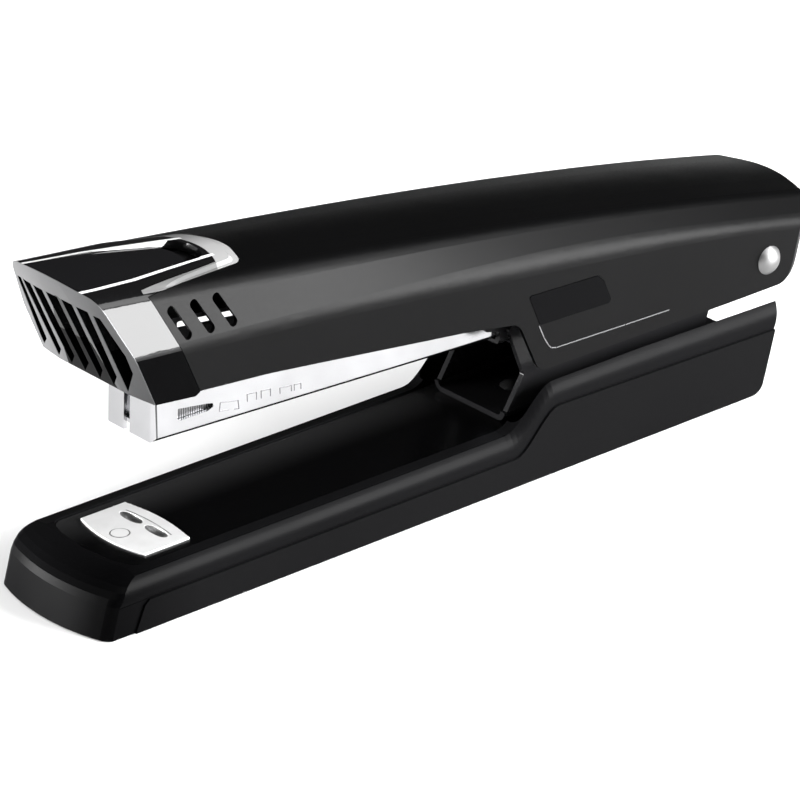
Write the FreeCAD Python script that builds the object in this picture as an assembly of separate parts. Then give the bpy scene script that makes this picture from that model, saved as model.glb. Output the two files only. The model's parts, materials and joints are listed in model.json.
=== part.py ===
import FreeCAD, Part
import math
import os

# Full-strip desk stapler, shown standing open on its base.
# Build axes: X runs from the nose (low) to the hinge (high), Y across, Z up.
# Everything is modelled with x = 0 at the base's front corners, then shifted so
# that the origin is the centre of the footprint box on the table.

# ------------------------------------------------------------------ dimensions
SHIFT_X = -93.484        # moves the box centre to x = 0

# hinge
PIV_X, PIV_Z = 172.7, 31.4
PIN_R = 2.0
PIN_HEAD_R = 3.15
PIN_HEAD_H = 1.6

# base
BASE_HW = 17.6           # half width
BASE_BOTTOM = 0.3        # the shell stands this high on its rubber sole
BASE_X_REAR = 172.95
BASE_REAR_RAKE = 0.277    # x per z
BASE_FRONT_BULGE = 3.2
BASE_FRONT_RAKE = 0.30
RIM_Z = 11.9             # rim height over the throat
WALL_TOP_Z = 20.3        # housing walls
DECK_Z = 10.35           # moulded deck under the steel plate
RECESS_HW = 13.0
PLATE_HW = 12.75
PLATE_T = 1.1
PLATE_TOP = DECK_Z + PLATE_T     # 11.45
ANVIL_TOP = 11.95

# bracket
BR_HW = 10.8
BR_T = 1.2
BR_X0, BR_X1 = 106.4, 169.0

# magazine group, drawn level and then tilted about the hinge
MAG_TILT = 2.63          # degrees, nose up
MAG_X0 = 19.15
MAG_Z0 = 25.8
MAG_H = 10.4
MAG_HW = 7.4
MAG_T = 0.8
MAG_X1 = 122.0
RAIL_HW = 5.75
RAIL_TOP = 33.4
RAIL_X0, RAIL_X1 = 21.95, 156.0
WIRE = 0.55
STRIP_X0, STRIP_X1 = 21.85, 73.85
CARR_X0 = 103.2
CARR_HW = 8.6
CARR_T = 1.1

# cover
COV_T = 0.9
COV_HW_NOSE = 17.5
COV_HW_REAR = 18.88

V = FreeCAD.Vector
os.makedirs("parts", exist_ok=True)


# ------------------------------------------------------------------ helpers
def fillet_path(pts, radii):
    """Closed 2D outline with rounded corners, as a list of ('L', a, b) and ('A', a, m, b)."""
    n = len(pts)
    segs = []
    ends = []
    for i in range(n):
        p0, p1, p2 = pts[i - 1], pts[i], pts[(i + 1) % n]
        r = radii[i] if not isinstance(radii, (int, float)) else radii
        ax, ay = p0[0] - p1[0], p0[1] - p1[1]
        bx, by = p2[0] - p1[0], p2[1] - p1[1]
        la, lb = math.hypot(ax, ay), math.hypot(bx, by)
        ax, ay, bx, by = ax / la, ay / la, bx / lb, by / lb
        cosang = max(-1.0, min(1.0, ax * bx + ay * by))
        ang = math.acos(cosang)
        if r <= 1e-6 or ang > math.pi - 1e-3:
            ends.append((p1, None, p1))
            continue
        t = r / math.tan(ang / 2)
        t = min(t, 0.49 * la, 0.49 * lb)
        rr = t * math.tan(ang / 2)
        s = (p1[0] + ax * t, p1[1] + ay * t)
        e = (p1[0] + bx * t, p1[1] + by * t)
        hx, hy = ax + bx, ay + by
        hl = math.hypot(hx, hy)
        hx, hy = hx / hl, hy / hl
        d = rr / math.sin(ang / 2)
        c = (p1[0] + hx * d, p1[1] + hy * d)
        m = (c[0] - hx * rr, c[1] - hy * rr)
        ends.append((s, m, e))
    for i in range(n):
        s, m, e = ends[i]
        if m is not None:
            segs.append(("A", s, m, e))
        nx = ends[(i + 1) % n][0]
        if math.hypot(nx[0] - e[0], nx[1] - e[1]) > 1e-7:
            segs.append(("L", e, nx))
    return segs


def wire(segs, to3):
    edges = []
    for s in segs:
        if s[0] == "L":
            edges.append(Part.LineSegment(to3(s[1]), to3(s[2])).toShape())
        else:
            edges.append(Part.Arc(to3(s[1]), to3(s[2]), to3(s[3])).toShape())
    return Part.Wire(edges)


def prism_xz(pts, y0, y1, radii=0.0):
    """Outline in XZ, extruded from y0 to y1."""
    w = wire(fillet_path(pts, radii), lambda p: V(p[0], y0, p[1]))
    return Part.Face(w).extrude(V(0, y1 - y0, 0))


def prism_xy(pts, z0, z1, radii=0.0, rake=0.0):
    """Outline in XY, extruded from z0 to z1, leaning by rake in x per z."""
    w = wire(fillet_path(pts, radii), lambda p: V(p[0], p[1], z0))
    return Part.Face(w).extrude(V(rake * (z1 - z0), 0, z1 - z0))


def prism_yz(pts, x0, x1, radii=0.0):
    w = wire(fillet_path(pts, radii), lambda p: V(x0, p[0], p[1]))
    return Part.Face(w).extrude(V(x1 - x0, 0, 0))


def box(x0, x1, y0, y1, z0, z1):
    return Part.makeBox(x1 - x0, y1 - y0, z1 - z0, V(x0, y0, z0))


def cyl_y(x, z, r, y0, y1):
    return Part.makeCylinder(r, y1 - y0, V(x, y0, z), V(0, 1, 0))


def cyl_z(x, y, r, z0, z1):
    return Part.makeCylinder(r, z1 - z0, V(x, y, z0), V(0, 0, 1))


def cyl_x(y, z, r, x0, x1):
    return Part.makeCylinder(r, x1 - x0, V(x0, y, z), V(1, 0, 0))


def interp(table, x):
    if x <= table[0][0]:
        (x0, v0), (x1, v1) = table[0], table[1]
    elif x >= table[-1][0]:
        (x0, v0), (x1, v1) = table[-2], table[-1]
    else:
        for (x0, v0), (x1, v1) in zip(table, table[1:]):
            if x0 <= x <= x1:
                break
    return v0 + (v1 - v0) * (x - x0) / (x1 - x0)


def arc_pts(x_end, x_mid, y_half, n=12, sign=1):
    """Points of a shallow arc across Y: x_end at the sides, x_mid in the middle."""
    out = []
    for i in range(n + 1):
        y = sign * (-y_half + 2 * y_half * i / n)
        out.append((x_mid + (x_end - x_mid) * (y / y_half) ** 2, y))
    return out


def plan_face(x_end, x_mid, y_half, x_far, z0, z1, rake):
    """Slab bounded on one side by a true three-point arc across Y, leaning by rake."""
    a, m, b = V(x_end, -y_half, z0), V(x_mid, 0, z0), V(x_end, y_half, z0)
    w = Part.Wire([
        Part.Arc(a, m, b).toShape(),
        Part.LineSegment(b, V(x_far, y_half, z0)).toShape(),
        Part.LineSegment(V(x_far, y_half, z0), V(x_far, -y_half, z0)).toShape(),
        Part.LineSegment(V(x_far, -y_half, z0), a).toShape(),
    ])
    return Part.Face(w).extrude(V(rake * (z1 - z0), 0, z1 - z0))


def tilt(shape, degrees):
    s = shape.copy()
    s.rotate(V(PIV_X, 0, PIV_Z), V(0, 1, 0), degrees)   # positive lifts the nose
    return s


def one(shape):
    s = shape.removeSplitter() if hasattr(shape, "removeSplitter") else shape
    return s


def save(name, *shapes):
    out = []
    for s in shapes:
        for solid in s.Solids:
            c = solid.copy()
            c.translate(V(SHIFT_X, 0, 0))
            out.append(c)
    shape = out[0] if len(out) == 1 else Part.makeCompound(out)
    shape.exportStep("parts/%s.step" % name)
    bb = shape.BoundBox
    print("%-18s solids %d valid %s vol %.1f  x %.1f..%.1f y %.1f..%.1f z %.1f..%.1f" % (
        name, len(out), shape.isValid(), shape.Volume, bb.XMin, bb.XMax, bb.YMin, bb.YMax, bb.ZMin, bb.ZMax))


# ================================================================== BASE BODY
# Outer form: sections across the length, then trimmed at both ends.
def base_section(x, zp, zt):
    """Half outline: side panel up to zp, a small ledge, a rounded shoulder, a flat rim at zt."""
    hw = BASE_HW
    zb = BASE_BOTTOM
    half = [
        ("L", (hw, zb), (hw, zp)),
        ("L", (hw, zp), (hw - 0.5, zp + 0.15)),
        ("A", (hw - 0.5, zp + 0.15), (hw - 0.75, zp + 0.62 * (zt - zp)), (hw - 1.9, zt - 0.35)),
        ("L", (hw - 1.9, zt - 0.35), (RECESS_HW - 0.6, zt)),
    ]
    segs = list(half)
    segs.append(("L", (RECESS_HW - 0.6, zt), (-(RECESS_HW - 0.6), zt)))
    for s in reversed(half):
        if s[0] == "L":
            segs.append(("L", (-s[2][0], s[2][1]), (-s[1][0], s[1][1])))
        else:
            segs.append(("A", (-s[3][0], s[3][1]), (-s[2][0], s[2][1]), (-s[1][0], s[1][1])))
    segs.append(("L", (-hw, zb), (hw, zb)))
    return wire(segs, lambda p: V(x, p[0], p[1]))


ZP = [(-8, 6.5), (101.5, 6.6), (104.5, 7.1), (107.0, 8.6), (109.5, 11.2), (112.0, 13.6), (114.5, 14.7), (118.0, 15.0), (185, 13.9)]
ZT = [(-8, RIM_Z), (100.0, RIM_Z), (103.5, 12.3), (106.0, 13.5), (108.5, 15.8), (111.0, 18.4), (113.5, 19.8), (118.0, 20.4), (140, 20.4), (185, 19.6)]


def smooth_step(x, x0, x1, v0, v1):
    t = max(0.0, min(1.0, (x - x0) / (x1 - x0)))
    t = t * t * (3 - 2 * t)
    return v0 + (v1 - v0) * t


def zp_of(x):
    return smooth_step(x, 103.4, 115.4, 6.5, 15.1) - max(0.0, x - 115.4) * 0.021


def zt_of(x):
    return smooth_step(x, 102.0, 115.0, RIM_Z, 20.5) - max(0.0, x - 140.0) * 0.018


def base_loft(xs):
    return Part.makeLoft([base_section(x, zp_of(x), zt_of(x)) for x in xs], True, True)


front_run = base_loft([-8, 102.0])
ramp_run = base_loft([102.0, 103.4, 104.6, 105.8, 107.0, 108.2, 109.4, 110.6, 111.8, 113.0, 114.2, 115.4])
rear_run = base_loft([115.4, 140.0, 186.0])
base_outer = front_run.fuse(ramp_run).fuse(rear_run)
FRONT_R = 50.0
CORNER_R = 3.6


def front_plan(hw, z0, z1, rake, back=0.0):
    """Plan of the whole base with a bulged front and rounded corners, leaning back as it rises."""
    cy = hw - CORNER_R
    fx = FRONT_R - BASE_FRONT_BULGE
    cx = fx - math.sqrt((FRONT_R - CORNER_R) ** 2 - cy ** 2)
    ux, uy = (cx - fx) / (FRONT_R - CORNER_R), cy / (FRONT_R - CORNER_R)
    tx, ty = fx + ux * FRONT_R, uy * FRONT_R
    mx, my = ux, uy + 1.0
    ml = math.hypot(mx, my)
    mx, my = cx + mx / ml * CORNER_R, cy + my / ml * CORNER_R
    w = Part.Wire([
        Part.Arc(V(tx, -ty, z0), V(-BASE_FRONT_BULGE, 0, z0), V(tx, ty, z0)).toShape(),
        Part.Arc(V(tx, ty, z0), V(mx, my, z0), V(cx, hw, z0)).toShape(),
        Part.LineSegment(V(cx, hw, z0), V(230, hw, z0)).toShape(),
        Part.LineSegment(V(230, hw, z0), V(230, -hw, z0)).toShape(),
        Part.LineSegment(V(230, -hw, z0), V(cx, -hw, z0)).toShape(),
        Part.Arc(V(cx, -hw, z0), V(mx, -my, z0), V(tx, -ty, z0)).toShape(),
    ])
    w.translate(V(back, 0, 0))
    return Part.Face(w).extrude(V(rake * (z1 - z0), 0, z1 - z0))


# the front rolls over into the top: (set back, height) along the roll
ROLL = [(0.0, 0.0), (2.0, 6.9), (2.75, 8.3), (3.75, 9.4), (5.1, 10.3), (6.9, 11.1), (9.6, RIM_Z + 0.01)]
for (b0, h0), (b1, h1) in zip(ROLL, ROLL[1:]):
    rk = (b1 - b0) / (h1 - h0)
    base_outer = base_outer.common(front_plan(BASE_HW, 0.0, 30.0, rk, b0 - rk * h0))
# leaning rear end
base_outer = base_outer.common(prism_xz([(-20, BASE_BOTTOM), (BASE_X_REAR, BASE_BOTTOM), (BASE_X_REAR + BASE_REAR_RAKE * 29.7, 30), (-20, 30)], -30, 30, [0, 3.2, 0, 0]))
# the flat side panels start behind the nose, so the nose itself is a touch narrower
for sgn in (-1, 1):
    step = prism_xz([(-10, -2), (5.2, -2), (6.1, 0), (8.6, 5.6), (9.9, 6.62), (-10, 6.62)], min(sgn * (BASE_HW - 0.45), sgn * 30), max(sgn * (BASE_HW - 0.45), sgn * 30), [0, 0, 0, 0.8, 0, 0])
    base_outer = base_outer.cut(step)

# recess for the steel plate and the open housing behind it
recess = prism_xy([(7.0, 0), (7.9, -8.0), (9.4, -RECESS_HW), (230, -RECESS_HW), (230, RECESS_HW), (9.4, RECESS_HW), (7.9, 8.0)], DECK_Z, 60, [0, 6, 3, 0, 0, 3, 6])
shell = base_outer.cut(recess)
wide = prism_xy([(105.2, -15.7), (230, -15.7), (230, 15.7), (105.2, 15.7)], DECK_Z, 60, [2.4, 0, 0, 2.4])
shell = shell.cut(wide)
for sgn in (-1, 1):
    ya, yb = sorted((sgn * 15.35, sgn * 15.62))
    shell = shell.cut(box(9.0, 102.5, ya, yb, RIM_Z - 0.75, RIM_Z + 1))
# moulded cavity below the deck, with cross ribs left standing
cav = prism_xy([(8.5, -15.0), (168.0, -15.0), (168.0, 15.0), (8.5, 15.0)], BASE_BOTTOM - 1, DECK_Z - 2.0, 3.0)
for rx in (38.0, 68.0, 98.0, 136.0):
    cav = cav.cut(box(rx - 0.8, rx + 0.8, -20, 20, 2.4, 20))
for bx in (30.0, 88.0, 150.0):
    cav = cav.cut(cyl_z(bx, 0, 3.6, 2.4, 20))
shell = shell.cut(cav)
SCREWS = (30.0, 88.0, 150.0)
for bx in SCREWS:
    shell = shell.cut(cyl_z(bx, 0, 1.35, 0, 12))
    shell = shell.cut(cyl_z(bx, 0, 2.6, 0, 4.4))
ANVIL_RIV_X = 16.2
shell = shell.cut(cyl_z(ANVIL_RIV_X, 0, 2.6, 0, DECK_Z - 1.2)).cut(cyl_z(ANVIL_RIV_X, 0, 1.3, 0, 12))
save("base_shell", shell)

# rubber sole pressed into the underside
sole = prism_xy([(8.9, -14.6), (167.6, -14.6), (167.6, 14.6), (8.9, 14.6)], 0.0, 2.3, 2.7)
for i in range(14):
    gx = 18.0 + i * 10.8
    if all(abs(gx - s) > 4.2 for s in SCREWS) and abs(gx - ANVIL_RIV_X) > 4:
        sole = sole.cut(box(gx - 0.5, gx + 0.5, -12.5, 12.5, -1, 0.5))
for bx in SCREWS + (ANVIL_RIV_X,):
    sole = sole.cut(cyl_z(bx, 0, 3.0, -1, 3))
save("non_slip_sole", sole)

# screws that hold the steel plate down
scr = []
for bx in SCREWS:
    s = cyl_z(bx, 0, 1.3, 4.2, DECK_Z + 0.9).fuse(cyl_z(bx, 0, 2.4, 2.6, 4.35))
    s = s.cut(box(bx - 1.6, bx + 1.6, -0.3, 0.3, 2.5, 3.2)).cut(box(bx - 0.3, bx + 0.3, -1.6, 1.6, 2.5, 3.2))
    scr.append(s)
save("base_screws", *scr)

# steel base plate
plate = prism_xy([(7.3, 0), (8.1, -8.0), (9.6, -PLATE_HW), (171.0, -PLATE_HW), (171.0, PLATE_HW), (9.6, PLATE_HW), (8.1, 8.0)], DECK_Z + 0.02, PLATE_TOP, [0, 6, 2.8, 1.5, 1.5, 2.8, 6])
AX0, AX1, AHW = 14.4, 25.4, 10.2


def anvil_outline(grow):
    g = grow
    a, m, b = V(AX0 - g, -AHW - g, 0), V(12.7 - g, 0, 0), V(AX0 - g, AHW + g, 0)
    c, n, d = V(AX1 + g, AHW + g, 0), V(26.6 + g, 0, 0), V(AX1 + g, -AHW - g, 0)
    return Part.Wire([Part.Arc(a, m, b).toShape(), Part.LineSegment(b, c).toShape(), Part.Arc(c, n, d).toShape(), Part.LineSegment(d, a).toShape()])


def anvil_prism(grow, z0, z1):
    f = Part.Face(anvil_outline(grow))
    f.translate(V(0, 0, z0))
    return f.extrude(V(0, 0, z1 - z0))


plate = plate.cut(anvil_prism(0.08, 0, 30))
for bx in SCREWS:
    plate = plate.cut(cyl_z(bx, 0, 1.33, 0, DECK_Z + 0.95))
BR_RIV = (118.0, 143.0)
for bx in BR_RIV:
    plate = plate.cut(cyl_z(bx, 0, 1.55, 0, 30))
save("base_plate", plate)

# anvil with two clinching pockets
anvil = anvil_prism(0.0, DECK_Z + 0.03, ANVIL_TOP)
anvil = anvil.makeFillet(0.25, [e for e in anvil.Edges if abs(e.BoundBox.ZMin - ANVIL_TOP) < 1e-4 and abs(e.BoundBox.ZMax - ANVIL_TOP) < 1e-4])
for sgn in (-1, 1):
    tor = Part.makeTorus(6.6, 1.3, V(22.05, sgn * 3.95, ANVIL_TOP - 0.78 + 7.9), V(1, 0, 0))
    anvil = anvil.cut(tor)
anvil = anvil.cut(cyl_z(ANVIL_RIV_X, 0, 1.28, 0, 20)).cut(cyl_z(ANVIL_RIV_X, 0, 1.95, ANVIL_TOP - 0.55, 20))
save("anvil_plate", anvil)

riv = cyl_z(ANVIL_RIV_X, 0, 1.22, 8.1, ANVIL_TOP - 0.3).fuse(cyl_z(ANVIL_RIV_X, 0, 1.88, ANVIL_TOP - 0.53, ANVIL_TOP + 0.05)).fuse(cyl_z(ANVIL_RIV_X, 0, 2.2, 8.0, DECK_Z - 1.25))
save("anvil_rivet", riv)

# pivot bracket: a U of black steel with waisted ears
FLOOR0, FLOOR1 = PLATE_TOP + 0.02, PLATE_TOP + 0.02 + BR_T
ear_pts = [(BR_X0 + 0.4, FLOOR0), (BR_X0 + 0.4, 13.2), (111.7, 20.8), (107.4, 31.8), (110.5, 34.6), (150, 35.6), (PIV_X - 1.2, PIV_Z + 5.0),
           (PIV_X + 5.0, PIV_Z + 2.6), (PIV_X + 5.0, PIV_Z - 2.4), (PIV_X - 0.5, PIV_Z - 5.0), (164.6, 22.3), (163.0, 18.4), (163.0, 15.2), (166.5, FLOOR0)]
ear_r = [0, 1.0, 0.5, 1.2, 3.0, 20, 4.5, 4.5, 4.5, 4.5, 3.5, 2.0, 1.5, 0]
u_outer = prism_yz([(-BR_HW, FLOOR0), (BR_HW, FLOOR0), (BR_HW, 50), (-BR_HW, 50)], BR_X0, 190, [2.2, 2.2, 0, 0])
u_inner = prism_yz([(-BR_HW + BR_T, FLOOR1), (BR_HW - BR_T, FLOOR1), (BR_HW - BR_T, 60), (-BR_HW + BR_T, 60)], BR_X0 - 1, 191, [1.0, 1.0, 0, 0])
u = u_outer.cut(u_inner)
side = prism_xz(ear_pts, -30, 30, ear_r)
floor_keep = box(BR_X0, BR_X1, -BR_HW, BR_HW, FLOOR0 - 1, FLOOR1 + 1.0)
bracket = u.common(side.fuse(floor_keep))
bracket = bracket.cut(cyl_y(PIV_X, PIV_Z, PIN_R + 0.01, -30, 30))
for bx in BR_RIV:
    bracket = bracket.cut(cyl_z(bx, 0, 1.55, 0, 30))
bracket = bracket.cut(cyl_z(158.0, 0, 1.3, 0, 30))
save("pivot_bracket", max(bracket.Solids, key=lambda s: s.Volume))

rv = []
for bx in BR_RIV:
    r0 = cyl_z(bx, 0, 1.52, DECK_Z + 0.05, FLOOR1 + 0.05)
    head = Part.makeSphere(3.6, V(bx, 0, FLOOR1 - 2.55)).common(box(bx - 5, bx + 5, -5, 5, FLOOR1 + 0.02, FLOOR1 + 3))
    rv.append(r0.fuse(head))
save("bracket_rivets", *rv)

# lift spring: a bent leaf that carries the magazine arm
leaf_mid = [(165.0, FLOOR1 + 0.42), (150.5, FLOOR1 + 0.42), (127.0, 25.3), (117.5, 26.75), (113.4, 25.4)]


def ribbon(mid, t, y0, y1, radius):
    """Strip of thickness t that follows a polyline in XZ with rounded bends."""
    up, dn = [], []
    n = len(mid)
    for i in range(n):
        if i == 0:
            dx, dz = mid[1][0] - mid[0][0], mid[1][1] - mid[0][1]
            l = math.hypot(dx, dz)
            nx, nz, k = -dz / l, dx / l, 1.0
        elif i == n - 1:
            dx, dz = mid[-1][0] - mid[-2][0], mid[-1][1] - mid[-2][1]
            l = math.hypot(dx, dz)
            nx, nz, k = -dz / l, dx / l, 1.0
        else:
            d0 = (mid[i][0] - mid[i - 1][0], mid[i][1] - mid[i - 1][1])
            d1 = (mid[i + 1][0] - mid[i][0], mid[i + 1][1] - mid[i][1])
            l0, l1 = math.hypot(*d0), math.hypot(*d1)
            n0, n1 = (-d0[1] / l0, d0[0] / l0), (-d1[1] / l1, d1[0] / l1)
            nx, nz = n0[0] + n1[0], n0[1] + n1[1]
            l = math.hypot(nx, nz)
            nx, nz = nx / l, nz / l
            k = 1.0 / (nx * n0[0] + nz * n0[1])
        up.append((mid[i][0] + nx * k * t / 2, mid[i][1] + nz * k * t / 2))
        dn.append((mid[i][0] - nx * k * t / 2, mid[i][1] - nz * k * t / 2))
    pts = up + dn[::-1]
    r = [0] + [radius] * (n - 2) + [0, 0] + [radius + t] * (n - 2) + [0]
    return prism_xz(pts, y0, y1, r)


lift = ribbon(leaf_mid, 0.8, -4.2, 4.2, 3.0)
lift = lift.cut(cyl_z(158.0, 0, 1.35, 0, 30))
save("lift_spring", lift)
head = Part.makeSphere(3.0, V(158.0, 0, FLOOR1 + 0.84 - 2.1)).common(box(150, 166, -5, 5, FLOOR1 + 0.84, 20))
save("lift_spring_rivet", cyl_z(158.0, 0, 1.27, PLATE_TOP + 0.03, FLOOR1 + 0.9).fuse(head))

# hinge pin: a rivet with a domed head outside each side of the cover
y_out = COV_HW_REAR + 0.12
pin = cyl_y(PIV_X, PIV_Z, PIN_R, -y_out - 0.3, y_out + 0.3)
dome_R = (PIN_HEAD_R ** 2 + PIN_HEAD_H ** 2) / (2 * PIN_HEAD_H)
for sgn in (-1, 1):
    c = V(PIV_X, sgn * (y_out + PIN_HEAD_H - dome_R), PIV_Z)
    dome = Part.makeSphere(dome_R, c)
    slab = box(PIV_X - 20, PIV_X + 20, y_out, y_out + 20, PIV_Z - 20, PIV_Z + 20) if sgn > 0 else box(PIV_X - 20, PIV_X + 20, -y_out - 20, -y_out, PIV_Z - 20, PIV_Z + 20)
    pin = pin.fuse(dome.common(slab))
save("pivot_rivet", pin)

# ================================================================== MAGAZINE BODY (level, then tilted)
z0, z1 = MAG_Z0, MAG_Z0 + MAG_H
mag_out = prism_yz([(-MAG_HW, z0), (MAG_HW, z0), (MAG_HW, z1), (-MAG_HW, z1)], MAG_X0, MAG_X1, [1.2, 1.2, 0, 0])
mag_in = prism_yz([(-MAG_HW + MAG_T, z0 + MAG_T), (MAG_HW - MAG_T, z0 + MAG_T), (MAG_HW - MAG_T, z1 + 5), (-MAG_HW + MAG_T, z1 + 5)], MAG_X0 + MAG_T, MAG_X1 + 1, [0.5, 0.5, 0, 0])
mag = mag_out.cut(mag_in)
# rounded vertical bends at the front
corner = box(MAG_X0 - 1, MAG_X0 + 1.2, MAG_HW - 1.2, MAG_HW + 1, z0 - 1, z1 + 1).cut(cyl_z(MAG_X0 + 1.2, MAG_HW - 1.2, 1.2, z0 - 1, z1 + 1))
mag = mag.cut(corner)
mag = mag.cut(corner.mirror(V(0, 0, 0), V(0, 1, 0)))
# split front and the slot that the staple leaves by
mag = mag.cut(box(MAG_X0 - 1, MAG_X0 + MAG_T + 0.2, -0.15, 1.7, z0 - 1, z1 + 1))
mag = mag.cut(box(MAG_X0 + MAG_T, STRIP_X0 + 0.05, -MAG_HW + MAG_T, MAG_HW - MAG_T, z0 - 1, z0 + MAG_T + 0.6))
# wedge windows over the staple legs
win = [(25.15, 31.65), (25.1, 29.55), (25.8, 29.05), (32.5, 29.28), (34.05, 29.95), (33.7, 30.68), (32.1, 30.96)]
mag = mag.cut(prism_xz(win, -20, 20, [0.3, 0.3, 0.5, 0.8, 0.5, 0.4, 0.6]))
# the side walls end in a hooked notch behind the throat
mag = mag.cut(prism_xz([(123.5, z0 + 3.0), (110.0, z0 + 3.0), (108.0, z0 + 5.0), (108.0, z1 + 4), (123.5, z1 + 4)], -20, 20, [0, 1, 1, 0, 0]))
CARR_RIV = [(104.9, 31.0), (114.0, 27.55)]
for rx, rz in CARR_RIV:
    mag = mag.cut(cyl_y(rx, rz, 1.0, -20, 20))
save("magazine", tilt(mag, MAG_TILT))

# inner rail that the staples ride on, slotted for the pusher's foot
rail_o = prism_yz([(-RAIL_HW, z0 + MAG_T + 0.05), (RAIL_HW, z0 + MAG_T + 0.05), (RAIL_HW, RAIL_TOP), (-RAIL_HW, RAIL_TOP)], RAIL_X0, RAIL_X1, [0, 0, 0.6, 0.6])
rail_i = prism_yz([(-RAIL_HW + 0.8, z0 - 2), (RAIL_HW - 0.8, z0 - 2), (RAIL_HW - 0.8, RAIL_TOP - 0.8), (-RAIL_HW + 0.8, RAIL_TOP - 0.8)], RAIL_X0 - 1, RAIL_X1 + 1, 0)
rail = rail_o.cut(rail_i)
rail = rail.cut(box(34.0, 150.5, -2.4, 2.4, RAIL_TOP - 2, RAIL_TOP + 1))
ROD_Z = 29.9
tab = box(23.0, 24.0, -RAIL_HW + 0.5, RAIL_HW - 0.5, z0 + MAG_T + 0.3, RAIL_TOP - 0.4).cut(cyl_x(0, ROD_Z, 1.05, 20, 30))
rail = rail.fuse(tab)
save("staple_rail", tilt(rail, MAG_TILT))

# glued strip of staples
strip = prism_yz([(-6.42, 27.55), (-5.87, 27.55), (-5.87, RAIL_TOP + 0.05), (5.87, RAIL_TOP + 0.05), (5.87, 27.55), (6.42, 27.55), (6.42, RAIL_TOP + 0.05 + WIRE), (-6.42, RAIL_TOP + 0.05 + WIRE)], STRIP_X0, STRIP_X1, [0, 0, 0, 0, 0, 0, 0.35, 0.35])
save("staple_strip", tilt(strip, MAG_TILT))

# guide rod and its rear anchor
anchor = box(151.0, 152.6, -4.85, 4.85, z0 + MAG_T + 0.1, RAIL_TOP - 0.85)
anchor = anchor.cut(cyl_x(0, ROD_Z, 1.02, 140, 160))
save("rod_anchor", tilt(anchor, MAG_TILT))
rod = cyl_x(0, ROD_Z, 1.0, 22.2, 153.6).fuse(cyl_x(0, ROD_Z, 1.6, 152.65, 153.6))
save("guide_rod", tilt(rod, MAG_TILT))

# black carrier that joins the magazine to the hinge
cz0 = z0 - 0.03 - CARR_T
c_out = prism_yz([(-CARR_HW, cz0), (CARR_HW, cz0), (CARR_HW, 50), (-CARR_HW, 50)], 100, 190, [1.6, 1.6, 0, 0])
c_in = prism_yz([(-CARR_HW + CARR_T, cz0 + CARR_T), (CARR_HW - CARR_T, cz0 + CARR_T), (CARR_HW - CARR_T, 60), (-CARR_HW + CARR_T, 60)], 99, 191, [0.5, 0.5, 0, 0])
carr = c_out.cut(c_in)
c_pts = [(106.9, cz0), (106.9, z0 + 2.2), (CARR_X0, z0 + 2.9), (CARR_X0, z1 - 0.5), (112, z1 + 0.8), (150, z1 + 0.2), (PIV_X - 1.0, PIV_Z + 4.8), (PIV_X + 4.7, PIV_Z + 2.4),
         (PIV_X + 4.7, PIV_Z - 2.4), (PIV_X - 1.0, PIV_Z - 4.8), (160.0, cz0 + 0.0)]
c_rad = [0.5, 0.4, 0.4, 1.5, 3, 20, 4.2, 4.2, 4.2, 4.2, 3]
carr = carr.common(prism_xz(c_pts, -30, 30, c_rad))
carr = carr.cut(cyl_y(PIV_X, PIV_Z, PIN_R + 0.05, -30, 30))
carr = carr.cut(prism_xz([(161.5, cz0 - 2), (200, cz0 - 2), (200, 60), (161.5, 60)], -CARR_HW + CARR_T, CARR_HW - CARR_T))
for rx, rz in CARR_RIV:
    carr = carr.cut(cyl_y(rx, rz, 1.0, -20, 20))
save("magazine_carrier", tilt(max(carr.Solids, key=lambda s: s.Volume), MAG_TILT))

rr = []
for rx, rz in CARR_RIV:
    for sgn in (-1, 1):
        ya, yb = sorted((sgn * (MAG_HW - MAG_T - 0.15), sgn * (CARR_HW + 0.05)))
        shank = cyl_y(rx, rz, 0.98, ya, yb)
        c = V(rx, sgn * (CARR_HW + 0.6 - 2.1), rz)
        hb = box(rx - 5, rx + 5, CARR_HW + 0.02, CARR_HW + 3, rz - 5, rz + 5) if sgn > 0 else box(rx - 5, rx + 5, -CARR_HW - 3, -CARR_HW - 0.02, rz - 5, rz + 5)
        rr.append(shank.fuse(Part.makeSphere(2.1, c).common(hb)))
save("carrier_rivets", *[tilt(r, MAG_TILT) for r in rr])

# spring that drives the pusher: a real coil around the rod


def coil_x(x0, x1, z, radius, wire_r, turns):
    helix = Part.makeHelix((x1 - x0) / turns, x1 - x0, radius)
    helix.rotate(V(0, 0, 0), V(0, 1, 0), 90)
    helix.translate(V(x0, 0, z))
    start = helix.Edges[0].valueAt(helix.Edges[0].FirstParameter)
    tan = helix.Edges[0].tangentAt(helix.Edges[0].FirstParameter)
    circ = Part.Wire([Part.makeCircle(wire_r, start, tan)])
    return Part.Wire(helix.Edges).makePipeShell([circ], True, True)


PUSH_X0, PUSH_X1 = STRIP_X1 + 0.1, STRIP_X1 + 15.1
spring = coil_x(PUSH_X1 + 0.45, 150.6, ROD_Z, 1.65, 0.27, 20)
save("pusher_spring", tilt(spring, MAG_TILT))

# ================================================================== PUSHER BODY
pusher = prism_yz([(-6.45, 27.6), (-5.85, 27.6), (-5.85, RAIL_TOP + 0.08), (5.85, RAIL_TOP + 0.08), (5.85, 27.6), (6.45, 27.6), (6.45, 35.4), (-6.45, 35.4)], PUSH_X0, PUSH_X1, [0, 0, 0, 0, 0, 0, 0.6, 0.6])
pusher = pusher.fuse(box(PUSH_X1 - 5.0, PUSH_X1, -2.2, 2.2, 27.5, RAIL_TOP + 0.6))
pusher = pusher.cut(cyl_x(0, ROD_Z, 1.06, 50, 100))
pusher = pusher.fuse(box(PUSH_X1 - 9.0, PUSH_X1 - 6.5, -4.5, 4.5, 35.2, 37.6))
save("pusher", tilt(pusher, MAG_TILT))

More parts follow.
